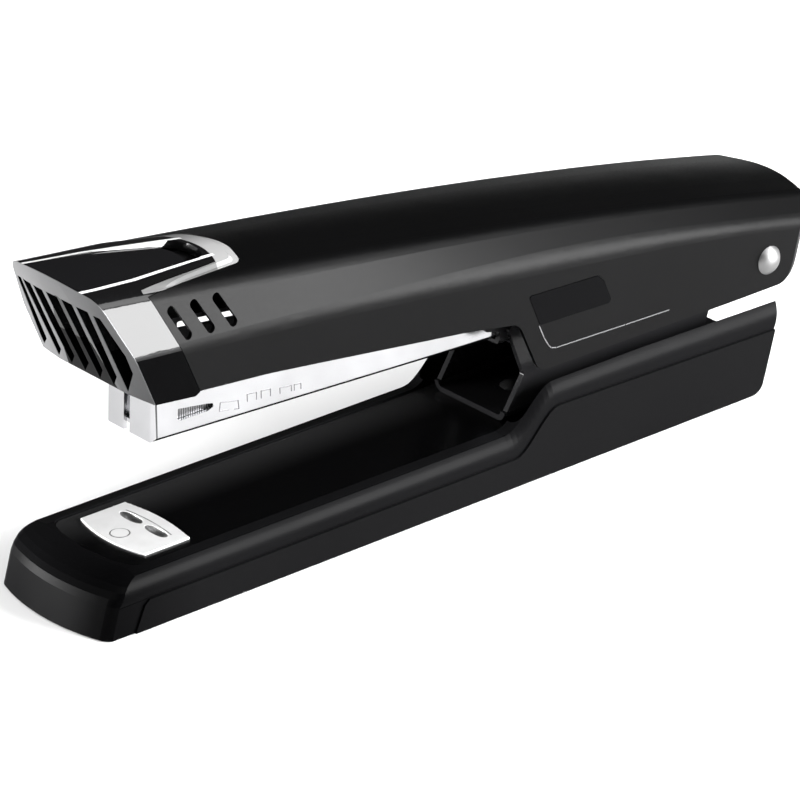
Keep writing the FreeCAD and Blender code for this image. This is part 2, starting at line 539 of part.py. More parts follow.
# ================================================================== COVER BODY
# drawn at rest, already tilted
Z13_CUBIC = (-0.8495, -0.2226, -11.862, 70.0576)     # height of the shoulder line, in powers of x/100
ZK_CUBIC = (-2.1344, 2.3903, -8.3352, 57.9019)      # height where the flat side ends


def cubic(c, x):
    t = x / 100.0
    return ((c[0] * t + c[1]) * t + c[2]) * t + c[3]


def cov_hw(x):
    return smooth_step(x, 30.0, 104.0, COV_HW_NOSE, COV_HW_REAR)


def cover_section(x, inset, zb, lift=0.0):
    hw = cov_hw(x) - inset
    zk = cubic(ZK_CUBIC, x) - inset * 0.3
    z13 = cubic(Z13_CUBIC, x) - inset * 0.9 + lift
    y13 = 13.2 - inset * 0.5
    crown = 1.1
    # shoulder corner sits a little above the rounded edge
    pts = [(hw, zb), (hw, zk), (y13 + 0.35, z13 - 0.2), (0, z13 + crown + 0.2), (-y13 - 0.35, z13 - 0.2), (-hw, zk), (-hw, zb)]
    rk = smooth_step(x, 100.0, 180.0, 7.0, 4.0)
    rad = [0, rk, 4.2, 60.0, 4.2, rk, 0]
    return wire(fillet_path(pts, rad), lambda p: V(x, p[0], p[1]))


STATIONS = [-8, 8, 24, 40, 64, 92, 118, 144, 168, 192]
outer = Part.makeLoft([cover_section(x, 0.0, 12.0) for x in STATIONS], True, False)
inner = Part.makeLoft([cover_section(x, COV_T, 6.0) for x in [-12] + STATIONS[1:-1] + [196]], True, False)

# side outline: front rake, bottom edge with its step, leaning rear end
side_pts = [(11.0, 46.95), (21.9, 45.75), (23.2, 46.5), (40, 45.1), (90, 39.4), (103.0, 37.2), (108.5, 25.2), (205.0, 24.7), (205.0, 102.0), (-12.4, 102.0)]
side_rad = [0.5, 1.0, 0.5, 60, 60, 3.5, 3.5, 0, 0, 0]
side_prism = prism_xz(side_pts, -30, 30, side_rad)
nose_face = plan_face(1.2 + 0.41 * (69.9 - 20) + 0.0049 * 400, 1.2 + 0.41 * (69.9 - 20), 20.0, 260, 20, 90, -0.41)
REAR_RAKE = 0.25


def rear_plan(inset, rake=REAR_RAKE, at_z=25.4, back=0.0):
    """Plan of the cover's rear end with rounded corners, leaning back as it rises. back is its set-back at height at_z."""
    hw = COV_HW_REAR + 0.15 - inset
    q = prism_xy([(-900, -hw), (182.0 - inset, -hw), (187.3 - inset, 0), (182.0 - inset, hw), (-900, hw)], 20.0, 90.0, [0, 6.5 - inset * 0.5, 45, 6.5 - inset * 0.5, 0], rake=rake)
    q.translate(V(REAR_RAKE * (at_z - 25.4) - rake * (at_z - 20.0) - back, 0, 0))
    return q


rear_face = rear_plan(0.0)
# the lower edge rolls under
REAR_ROLL = [(3.2, 24.7), (1.7, 25.1), (0.7, 26.0), (0.15, 27.4), (0.0, 29.0)]
for (b0, h0), (b1, h1) in zip(REAR_ROLL, REAR_ROLL[1:]):
    rear_face = rear_face.common(rear_plan(0.0, REAR_RAKE - (b1 - b0) / (h1 - h0), h0, b0))
form = outer.common(side_prism).common(nose_face).common(rear_face)

nose_in = plan_face(1.2 + 4.2 + 0.41 * (69.9 - 20) + 0.0049 * 400, 1.2 + 4.2 + 0.41 * (69.9 - 20), 20.0, 260, 20, 90, -0.41)
rear_in = rear_plan(COV_T)
hollow = inner.common(nose_in).common(rear_in)
skin = form.cut(hollow)

# the nose cap: everything ahead of a raked line, and a tongue along the top
cap_region = prism_xz([(-30, 20), (22.9 + 0.427 * 26.6, 20), (14.2 - 0.427 * 13, 80), (-30, 80)], -30, 30)
TONGUE_LO = [(-30, -13.6), (13.0, -13.6), (27.5, -11.3), (40.3, -8.6), (43.4, 0), (40.3, 8.6), (27.5, 11.3), (13.0, 13.6), (-30, 13.6)]
TONGUE_UP = [(-30, -12.9), (13.0, -12.9), (29.0, -9.2), (38.9, -7.4), (41.2, 0), (38.9, 7.4), (29.0, 9.2), (13.0, 12.9), (-30, 12.9)]
TONGUE_R = [0, 2, 40, 3.0, 14, 3.0, 40, 2, 0]


def tongue_wire(pts, z, grow=0.0):
    q = [(x + (grow if x > 0 else 0.0), y + math.copysign(grow, y) if y else 0.0) for x, y in pts]
    return wire(fillet_path(q, TONGUE_R), lambda p: V(p[0], p[1], z))


tongue = prism_xy(TONGUE_LO, 58.0, 80, TONGUE_R)
region = cap_region.fuse(tongue)
cap = skin.common(region)
GAP = 0.12
region_big = cap_region.copy()
region_big.translate(V(GAP, 0, 0))
tongue_big = Part.Face(tongue_wire(TONGUE_LO, 58.0, GAP)).extrude(V(0, 0, 22))
cover = skin.cut(region_big.fuse(tongue_big))
cover = max(cover.Solids, key=lambda s: s.Volume)

# three slanted vents on each side behind the cap
for vx in (19.4, 24.95, 30.45):
    dx, dz = 0.51 * 3.3, 3.3
    c = (vx + 0.25, 61.1 - (vx - 19.4) * 0.05)
    ax = (c[0] - dx, c[1] + dz)
    bx2 = (c[0] + dx, c[1] - dz)
    nx, nz = dz / math.hypot(dx, dz) * 1.0, dx / math.hypot(dx, dz) * 1.0
    slot = prism_xz([(ax[0] - nx, ax[1] - nz), (bx2[0] - nx, bx2[1] - nz), (bx2[0] + nx, bx2[1] + nz), (ax[0] + nx, ax[1] + nz)], -30, 30, 0.9)
    cover = cover.cut(slot)
cover = cover.cut(cyl_y(PIV_X, PIV_Z, PIN_R + 0.05, -30, 30))
# the rear opens below the hinge so the cover can swing up
cover = cover.cut(box(177.0, 200, -13.5, 13.5, 15, 31.5))

# thin plates let into the sides
skin_hi = Part.makeLoft([cover_section(x, -0.10, 12.0) for x in STATIONS], True, False)
skin_lo = Part.makeLoft([cover_section(x, 0.38, 12.0) for x in STATIONS], True, False)
skin_lo2 = Part.makeLoft([cover_section(x, 0.40, 12.0) for x in STATIONS], True, False)
BADGE = [(105.4, 42.6), (124.2, 41.8), (125.8, 40.3), (128.2, 34.9), (108.5, 35.5)]
BADGE_R = [0.5, 0.9, 1.5, 0.8, 0.8]
BADGE_BIG = [(105.33, 42.68), (124.26, 41.88), (125.9, 40.3), (128.3, 34.82), (108.46, 35.42)]
badges = []
for sgn in (-1, 1):
    ya, yb = sorted((sgn * 10.0, sgn * 30.0))
    badge = skin_hi.cut(skin_lo).common(prism_xz(BADGE, ya, yb, BADGE_R))
    badges.append(max(badge.Solids, key=lambda q: q.Volume))
    cover = cover.cut(skin_hi.cut(skin_lo2).common(prism_xz(BADGE_BIG, ya, yb, BADGE_R)))
save("side_badges", *badges)

GUIDE_SLOPE = -0.11       # the inner frame runs parallel to the top


def guide_z(x):
    """Top of the inner frame's roof."""
    return 58.5 + GUIDE_SLOPE * (x - 26.0)


# stout post moulded under the nose that bears on the inner frame
post = prism_xz([(24.0, guide_z(24.0) + 0.04), (28.0, guide_z(28.0) + 0.04), (28.0, 75), (24.0, 75)], -5.0, 5.0).common(hollow)
cap = cap.fuse(post)

# grille: seven grooves through the raked face only, so the cap's side walls stay whole
nose_deep = plan_face(1.2 + 3.4 + 0.41 * (69.9 - 20) + 0.0049 * 400, 1.2 + 3.4 + 0.41 * (69.9 - 20), 20.0, 260, 20, 90, -0.41)
grille_zone = inner.cut(nose_deep).common(box(-30, 40, -COV_HW_NOSE + 1.6, COV_HW_NOSE - 1.6, 30, 80))
SLOTS = [
    [(13.9, 65.4), (12.4, 65.6), (13.2, 50.7), (16.3, 48.0)],
    [(11.8, 65.6), (8.95, 65.6), (8.25, 50.3), (10.6, 47.8)],
    [(8.0, 65.65), (4.8, 65.75), (3.95, 50.4), (6.4, 47.7)],
    [(3.6, 65.85), (0.0, 65.9), (-0.6, 50.5), (2.2, 47.65)],
    [(-1.25, 65.9), (-4.6, 65.9), (-4.9, 50.5), (-2.45, 47.6)],
    [(-5.75, 65.85), (-9.0, 65.8), (-9.3, 50.7), (-6.8, 47.65)],
    [(-10.25, 65.4), (-12.1, 65.3), (-15.05, 57.5), (-14.95, 53.4), (-10.85, 47.65)],
]
for quad in SLOTS:
    w = Part.makePolygon([V(-20, y, z) for y, z in quad + quad[:1]])
    cap = cap.cut(Part.Face(w).extrude(V(36, 0, 0)).common(grille_zone))
# panel recess on top

def top_slab(lo, hi):
    """Slab that follows the crowned top between two depths below it."""
    s1 = Part.makeLoft([cover_section(x, 0.0, 12.0, lift=lo) for x in (-8, 8, 24, 40, 64)], True, False)
    s2 = Part.makeLoft([cover_section(x, 0.0, 12.0, lift=hi) for x in (-8, 8, 24, 40, 64)], True, False)
    return s2.cut(s1)


def panel_wire(grow, z, rear=0.0):
    """Plan of the top panel, grown sideways; rear pushes its far end back."""
    g = grow
    half = [(-8.0, 8.9 + g), (15.0, 7.7 + g), (30.4 + rear + g * 0.7, 5.2 + g - rear * 0.09)]
    pts = [(x, -y) for x, y in half] + [(32.0 + rear + g, 0)] + [(x, y) for x, y in reversed(half)]
    return wire(fillet_path(pts, [0, 40, 3 + g * 0.5, 10 + g, 3 + g * 0.5, 40, 0]), lambda p: V(p[0], p[1], z))


def nose_back(d):
    """Everything behind the nose face set back by d."""
    return plan_face(1.2 + d + 0.41 * (69.9 - 20) + 0.0049 * 400, 1.2 + d + 0.41 * (69.9 - 20), 20.0, 260, 20, 90, -0.41)


TOP_TILT = math.degrees(math.atan(0.119))


def tilt_top(shape):
    q = shape.copy()
    q.rotate(V(20.0, 0, 68.7), V(0, 1, 0), TOP_TILT)      # front up, rear down
    return q


# in the tilted frame the crown runs level at about z = 68.7
lifted = Part.makeLoft([cover_section(x, 0.0, 12.0, lift=v) for x, v in ((-8, 0.0), (8, 0.05), (24, 0.38), (40, 0.5), (64, 0.5))], True, False)
flanks = tilt_top(Part.makeLoft([tongue_wire(TONGUE_LO, 67.4), tongue_wire(TONGUE_UP, 68.75), tongue_wire(TONGUE_UP, 71.5, -0.3)], True, True))
platform = lifted.common(flanks).common(nose_face)
backing = top_slab(-2.9, -1.6).common(prism_xy([(3.0, -10.6), (35.6, -7.8), (39.0, 0), (35.6, 7.8), (3.0, 10.6)], 58, 80, [0.8, 3, 10, 3, 0.8])).common(nose_face)
funnel = tilt_top(Part.makeLoft([panel_wire(0.12, 67.05, 3.6), panel_wire(0.18, 67.95, 3.65), panel_wire(0.45, 69.95, 3.8)], True, True)).common(nose_back(0.35))
cap = cap.fuse(platform).fuse(backing).cut(funnel)
cap = max(cap.Solids, key=lambda s: s.Volume)
inlay = tilt_top(Part.makeLoft([panel_wire(0.0, 67.10), panel_wire(0.0, 68.10)], True, True)).common(nose_back(0.5))
save("cover_shell", cover)
save("nose_cap", cap)
save("nose_inlay", max(inlay.Solids, key=lambda s: s.Volume))

# driver arm: a strip fixed under the crown at the rear, free at the nose
arm_mid = [(150.5, 47.35), (128.0, 49.05), (62.0, guide_z(62.0) - 1.54), (20.9, guide_z(20.9) - 1.54)]
arm = ribbon(arm_mid, 1.2, -3.0, 3.0, 1.0)
wide = ribbon([(150.5, 47.35), (128.0, 49.05), (118.0, 49.72)], 1.2, -6.2, 6.2, 1.0)
arm = arm.fuse(wide)
ARM_RIV = ((134.0, 48.6), (145.0, 47.77))
for rx, rz in ARM_RIV:
    arm = arm.cut(cyl_z(rx, 0, 1.27, 30, 70))
for rx in (40.0, 56.0):
    arm = arm.cut(cyl_z(rx, 0, 1.27, 30, 70))
save("driver_arm", arm)

# driver blade, square to the magazine
blade = box(20.88, 21.43, -6.1, 6.1, 34.95, 49.72).cut(box(20, 22, 2.8, 7, 44.5, 60)).cut(box(20, 22, -7, -2.8, 44.5, 60))
blade = tilt(blade, MAG_TILT)
save("driver_blade", blade)

# inner frame: a black channel over the arm, with a long slit in each wall
ft = 0.9
FR_X0, FR_X1 = 22.6, 63.0
fr = prism_xz([(FR_X0, 48.4), (55.5, 47.1), (60.5, 51.0), (FR_X1, guide_z(FR_X1) - 2.5), (FR_X1, guide_z(FR_X1)), (FR_X0, guide_z(FR_X0))], -9.4, 9.4, [0.6, 2, 2, 0.4, 0.4, 0.4])
fr_in = prism_xz([(FR_X0 - 5, 30.0), (FR_X1 + 5, 30.0), (FR_X1 + 5, guide_z(FR_X1 + 5) - ft), (FR_X0 - 5, guide_z(FR_X0 - 5) - ft)], -8.5, 8.5)
fr = fr.cut(fr_in)
slit = prism_xz([(24.0, guide_z(24.0) - 2.45), (50.0, guide_z(50.0) - 2.45), (50.0, guide_z(50.0) - 0.92), (24.0, guide_z(24.0) - 0.92)], -20, 20, 0.4)
fr = fr.cut(slit)
for rx in (40.0, 56.0):
    fr = fr.cut(cyl_z(rx, 0, 1.27, 30, 90))
save("inner_frame", fr)
fs = []
for rx in (40.0, 56.0):
    zt = guide_z(rx)
    fs.append(cyl_z(rx, 0, 1.24, zt - 2.6, zt + 0.3).fuse(cyl_z(rx, 0, 2.1, zt + 0.27, zt + 0.95)).fuse(cyl_z(rx, 0, 2.1, zt - 3.2, zt - 2.36)))
save("frame_rivets", *fs)

# posts that join the arm to the crown of the cover
pr = []
for rx, rz in ARM_RIV:
    top = cubic(Z13_CUBIC, rx) + 1.1 - COV_T - 0.25
    body = cyl_z(rx, 0, 2.6, rz + 0.85, top + 3).common(hollow)
    body = max(body.Solids, key=lambda s: s.Volume)
    shank = cyl_z(rx, 0, 1.24, rz - 1.6, rz + 1.2)
    hd = cyl_z(rx, 0, 2.3, rz - 1.9, rz - 0.82)
    pr.append(body.fuse(shank).fuse(hd))
save("driver_arm_studs", *pr)

# return spring: broad leaf from the arm down to the magazine's walls
spring2 = ribbon([(124.5, 48.35), (119.0, 48.75), (95.0, 41.35), (90.0, 41.9)], 0.6, -5.6, 5.6, 2.0)
spring2 = ribbon([(126.5, 48.2), (119.5, 48.66), (97.0, 40.6), (91.5, 41.6)], 0.6, -8.3, 8.3, 2.0).common(prism_xy([(80, -8.3), (110, -8.3), (118, -5.0), (140, -5.0), (140, 5.0), (118, 5.0), (110, 8.3), (80, 8.3)], 20, 70))
save("cover_spring", spring2)

# spacers on the hinge pin between the bracket and the cover's sides
sp = []
for sgn in (-1, 1):
    ya, yb = sorted((sgn * (BR_HW + 0.1), sgn * (COV_HW_REAR - COV_T - 0.35)))
    sp.append(cyl_y(PIV_X, PIV_Z, 3.4, ya, yb).cut(cyl_y(PIV_X, PIV_Z, PIN_R + 0.05, -30, 30)))
save("pivot_spacers", *sp)
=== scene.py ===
import json
import math

import bmesh
import bpy
from mathutils import Matrix, Vector

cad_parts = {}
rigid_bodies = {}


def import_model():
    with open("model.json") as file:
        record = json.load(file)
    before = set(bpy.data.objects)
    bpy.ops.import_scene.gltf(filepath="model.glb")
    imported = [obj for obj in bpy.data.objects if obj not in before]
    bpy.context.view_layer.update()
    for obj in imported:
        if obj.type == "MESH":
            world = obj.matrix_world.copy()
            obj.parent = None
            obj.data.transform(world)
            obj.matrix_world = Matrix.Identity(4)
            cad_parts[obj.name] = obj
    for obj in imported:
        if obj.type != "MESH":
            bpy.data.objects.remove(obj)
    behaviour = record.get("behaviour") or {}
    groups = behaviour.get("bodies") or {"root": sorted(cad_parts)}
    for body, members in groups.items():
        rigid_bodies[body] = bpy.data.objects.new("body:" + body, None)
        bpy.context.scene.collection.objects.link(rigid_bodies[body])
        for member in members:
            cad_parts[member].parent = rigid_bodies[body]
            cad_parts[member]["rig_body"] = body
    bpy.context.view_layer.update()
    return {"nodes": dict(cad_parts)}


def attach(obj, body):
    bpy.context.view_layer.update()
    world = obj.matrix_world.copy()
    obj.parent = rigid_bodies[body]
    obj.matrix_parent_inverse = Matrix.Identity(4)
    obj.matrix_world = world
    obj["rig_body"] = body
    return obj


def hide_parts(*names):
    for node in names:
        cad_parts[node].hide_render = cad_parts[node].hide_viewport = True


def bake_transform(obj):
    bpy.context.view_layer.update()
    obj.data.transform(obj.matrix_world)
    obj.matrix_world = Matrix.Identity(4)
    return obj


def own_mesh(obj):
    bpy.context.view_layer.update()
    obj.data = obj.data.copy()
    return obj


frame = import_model()
NODES = frame["nodes"]
S = -0.093484          # build x = 0 sits here in the row frame


def mx(x):
    """Millimetres along the build axis to metres in the row frame."""
    return x / 1000.0 + S


# ------------------------------------------------------------------ camera
AZ, EL = math.radians(-40.588), math.radians(25.255)
back = Vector((math.sin(AZ) * math.cos(EL), -math.cos(AZ) * math.cos(EL), math.sin(EL)))
right = Vector((math.cos(AZ), math.sin(AZ), 0.0))
up = back.cross(right)
cam_data = bpy.data.cameras.new("cam")
cam_data.lens = 224.0
cam_data.sensor_width = 36.0
cam_data.clip_start = 0.01
cam_data.clip_end = 20.0
cam = bpy.data.objects.new("cam", cam_data)
bpy.context.scene.collection.objects.link(cam)
rot = Matrix((right, up, back)).transposed().to_4x4()
cam.matrix_world = Matrix.Translation((-0.503452 + S, -0.690073, 0.447165)) @ rot
bpy.context.scene.camera = cam


# ------------------------------------------------------------------ material kit
class Mat:
    """A node material with named helpers."""

    def __init__(self, name):
        self.m = bpy.data.materials.new(name)
        self.m.use_nodes = True
        self.t = self.m.node_tree
        self.t.nodes.clear()
        self.out = self.t.nodes.new("ShaderNodeOutputMaterial")
        self.b = self.t.nodes.new("ShaderNodeBsdfPrincipled")
        self.t.links.new(self.b.outputs[0], self.out.inputs[0])
        self.tc = self.t.nodes.new("ShaderNodeTexCoord")

    def set(self, **k):
        for a, v in k.items():
            self.b.inputs[a.replace("_", " ")].default_value = v
        return self

    def link(self, a, b):
        self.t.links.new(a, b)

    def noise(self, scale, detail=3.0, rough=0.55, stretch=None):
        n = self.t.nodes.new("ShaderNodeTexNoise")
        n.inputs["Scale"].default_value = scale
        n.inputs["Detail"].default_value = detail
        n.inputs["Roughness"].default_value = rough
        if stretch:
            mp = self.t.nodes.new("ShaderNodeMapping")
            mp.inputs["Scale"].default_value = stretch
            self.link(self.tc.outputs["Object"], mp.inputs["Vector"])
            self.link(mp.outputs["Vector"], n.inputs["Vector"])
        else:
            self.link(self.tc.outputs["Object"], n.inputs["Vector"])
        return n.outputs["Fac"]

    def voronoi(self, scale, stretch=None):
        n = self.t.nodes.new("ShaderNodeTexVoronoi")
        n.inputs["Scale"].default_value = scale
        self.link(self.tc.outputs["Object"], n.inputs["Vector"])
        return n.outputs["Distance"]

    def ramp(self, fac, stops):
        r = self.t.nodes.new("ShaderNodeValToRGB")
        while len(r.color_ramp.elements) < len(stops):
            r.color_ramp.elements.new(0.5)
        for e, (p, c) in zip(r.color_ramp.elements, stops):
            e.position = p
            e.color = c if len(c) == 4 else (*c, 1)
        self.link(fac, r.inputs["Fac"])
        return r.outputs["Color"]

    def rng(self, fac, lo, hi, a=0.3, b=0.7):
        r = self.t.nodes.new("ShaderNodeMapRange")
        r.inputs["From Min"].default_value = a
        r.inputs["From Max"].default_value = b
        r.inputs["To Min"].default_value = lo
        r.inputs["To Max"].default_value = hi
        self.link(fac, r.inputs["Value"])
        return r.outputs["Result"]

    def math(self, op, a, b=None):
        n = self.t.nodes.new("ShaderNodeMath")
        n.operation = op
        for i, v in enumerate((a, b)):
            if v is None:
                continue
            if isinstance(v, (int, float)):
                n.inputs[i].default_value = v
            else:
                self.link(v, n.inputs[i])
        return n.outputs[0]

    def bump(self, height, strength, dist):
        n = self.t.nodes.new("ShaderNodeBump")
        n.inputs["Strength"].default_value = strength
        n.inputs["Distance"].default_value = dist
        self.link(height, n.inputs["Height"])
        return n

    def edge_wear(self, radius=0.0006):
        n = self.t.nodes.new("ShaderNodeBevel")
        n.inputs["Radius"].default_value = radius
        n.samples = 4
        return n.outputs["Normal"]


def chrome(name, tint=(0.82, 0.82, 0.83), rough=0.08, brushed=True, spread=0.06):
    m = Mat(name).set(Metallic=1.0)
    c = m.noise(90.0, 2.0)
    m.link(m.ramp(c, [(0.3, tuple(v * 0.94 for v in tint)), (0.7, tint)]), m.b.inputs["Base Color"])
    s = m.noise(60.0, 4.0, 0.6, stretch=(1.0, 30.0, 30.0) if brushed else None)
    m.link(m.rng(s, rough, rough + spread), m.b.inputs["Roughness"])
    fine = m.noise(900.0, 2.0, 0.5, stretch=(0.6, 6.0, 6.0) if brushed else None)
    m.link(m.bump(fine, 0.05, 0.00004).outputs[0], m.b.inputs["Normal"])
    return m.m


def steel(name, tint, rough=0.32, spread=0.12, scale=300.0):
    m = Mat(name).set(Metallic=1.0)
    c = m.noise(220.0, 4.0)
    m.link(m.ramp(c, [(0.3, tuple(v * 0.8 for v in tint)), (0.7, tint)]), m.b.inputs["Base Color"])
    m.link(m.rng(m.noise(scale, 4.0), rough, rough + spread), m.b.inputs["Roughness"])
    m.link(m.bump(m.noise(1800.0, 2.0), 0.1, 0.00005).outputs[0], m.b.inputs["Normal"])
    return m.m


def gloss_black(name, col=(0.006, 0.006, 0.0065), rough=0.10, spread=0.05, coat=0.0, peel=0.00004, strength=0.10, spec=0.15):
    m = Mat(name)
    m.b.inputs["Specular IOR Level"].default_value = spec
    m.set(Coat_Weight=coat, Coat_Roughness=0.04)
    c = m.noise(14.0, 3.0)
    m.link(m.ramp(c, [(0.3, tuple(v * 0.75 for v in col)), (0.7, tuple(v * 1.3 for v in col))]), m.b.inputs["Base Color"])
    m.link(m.rng(m.noise(45.0, 5.0, 0.6), rough, rough + spread), m.b.inputs["Roughness"])
    m.link(m.bump(m.noise(260.0, 2.0, 0.4), strength, peel).outputs[0], m.b.inputs["Normal"])
    return m.m


def powder(name, col=(0.0012, 0.0012, 0.0013), rough=0.38, grain=1700.0, depth=0.00006, strength=0.05, spec=0.050):
    m = Mat(name)
    m.b.inputs["Specular IOR Level"].default_value = spec
    c = m.noise(25.0, 4.0)
    m.link(m.ramp(c, [(0.3, tuple(v * 0.88 for v in col)), (0.7, tuple(v * 1.12 for v in col))]), m.b.inputs["Base Color"])
    g = m.noise(grain, 3.0, 0.6)
    m.link(m.rng(g, rough - 0.015, rough + 0.025), m.b.inputs["Roughness"])
    m.link(m.bump(g, strength, depth).outputs[0], m.b.inputs["Normal"])
    return m.m


def rubber(name):
    m = Mat(name)
    m.link(m.ramp(m.noise(60.0, 5.0), [(0.3, (0.012, 0.012, 0.012)), (0.7, (0.022, 0.022, 0.021))]), m.b.inputs["Base Color"])
    m.link(m.rng(m.noise(500.0, 3.0), 0.72, 0.9), m.b.inputs["Roughness"])
    m.link(m.bump(m.noise(1400.0, 3.0), 0.4, 0.0001).outputs[0], m.b.inputs["Normal"])
    return m.m


def base_plastic(name):
    """Glossy shoulders and a matte grained side panel on one moulding, told apart by where the surface is; the near
    front corner is painted darker as painted shade.
    """
    m = Mat(name)
    m.b.inputs["Specular IOR Level"].default_value = 0.014
    sep = m.t.nodes.new("ShaderNodeSeparateXYZ")
    m.link(m.tc.outputs["Object"], sep.inputs[0])
    ay = m.math("ABSOLUTE", sep.outputs["Y"])
    side = m.math("GREATER_THAN", ay, 0.01742)
    grain = m.noise(1500.0, 3.0, 0.6)
    soft = m.noise(40.0, 4.0, 0.55)
    mix = m.t.nodes.new("ShaderNodeMix")
    mix.data_type = "FLOAT"
    m.link(side, mix.inputs["Factor"])
    m.link(m.rng(soft, 0.26, 0.34), mix.inputs["A"])
    m.link(m.rng(grain, 0.45, 0.58), mix.inputs["B"])
    m.link(mix.outputs["Result"], m.b.inputs["Roughness"])
    tone = m.math("ADD", m.math("MULTIPLY", m.noise(18.0, 3.0), 0.3), m.math("MULTIPLY", side, 0.7))
    xb, _, _ = place(m, "base_shell")
    # painted shade: the colour is darkened towards the near front corner
    front = m.t.nodes.new("ShaderNodeMix")
    front.data_type = "RGBA"
    m.link(m.math("MULTIPLY", m.rng(xb, 1.0, 0.0, 3.0, 22.0), m.rng(sep.outputs["Y"], 1.0, 0.0, -0.012, 0.008)), front.inputs["Factor"])
    m.link(m.ramp(soft, [(0.3, (0.0005, 0.0005, 0.0006)), (0.7, (0.001, 0.001, 0.0011))]), front.inputs["B"])
    m.link(front.outputs["Result"], m.b.inputs["Base Color"])
    m.link(m.ramp(tone, [(0.05, (0.0025, 0.0025, 0.0027)), (0.25, (0.0035, 0.0035, 0.0038)), (0.75, (0.0026, 0.0026, 0.0028)), (0.95, (0.0036, 0.0036, 0.0038))]), front.inputs["A"])
    m.link(m.bump(m.math("MULTIPLY", grain, side), 0.3, 0.00006).outputs[0], m.b.inputs["Normal"])
    return m.m


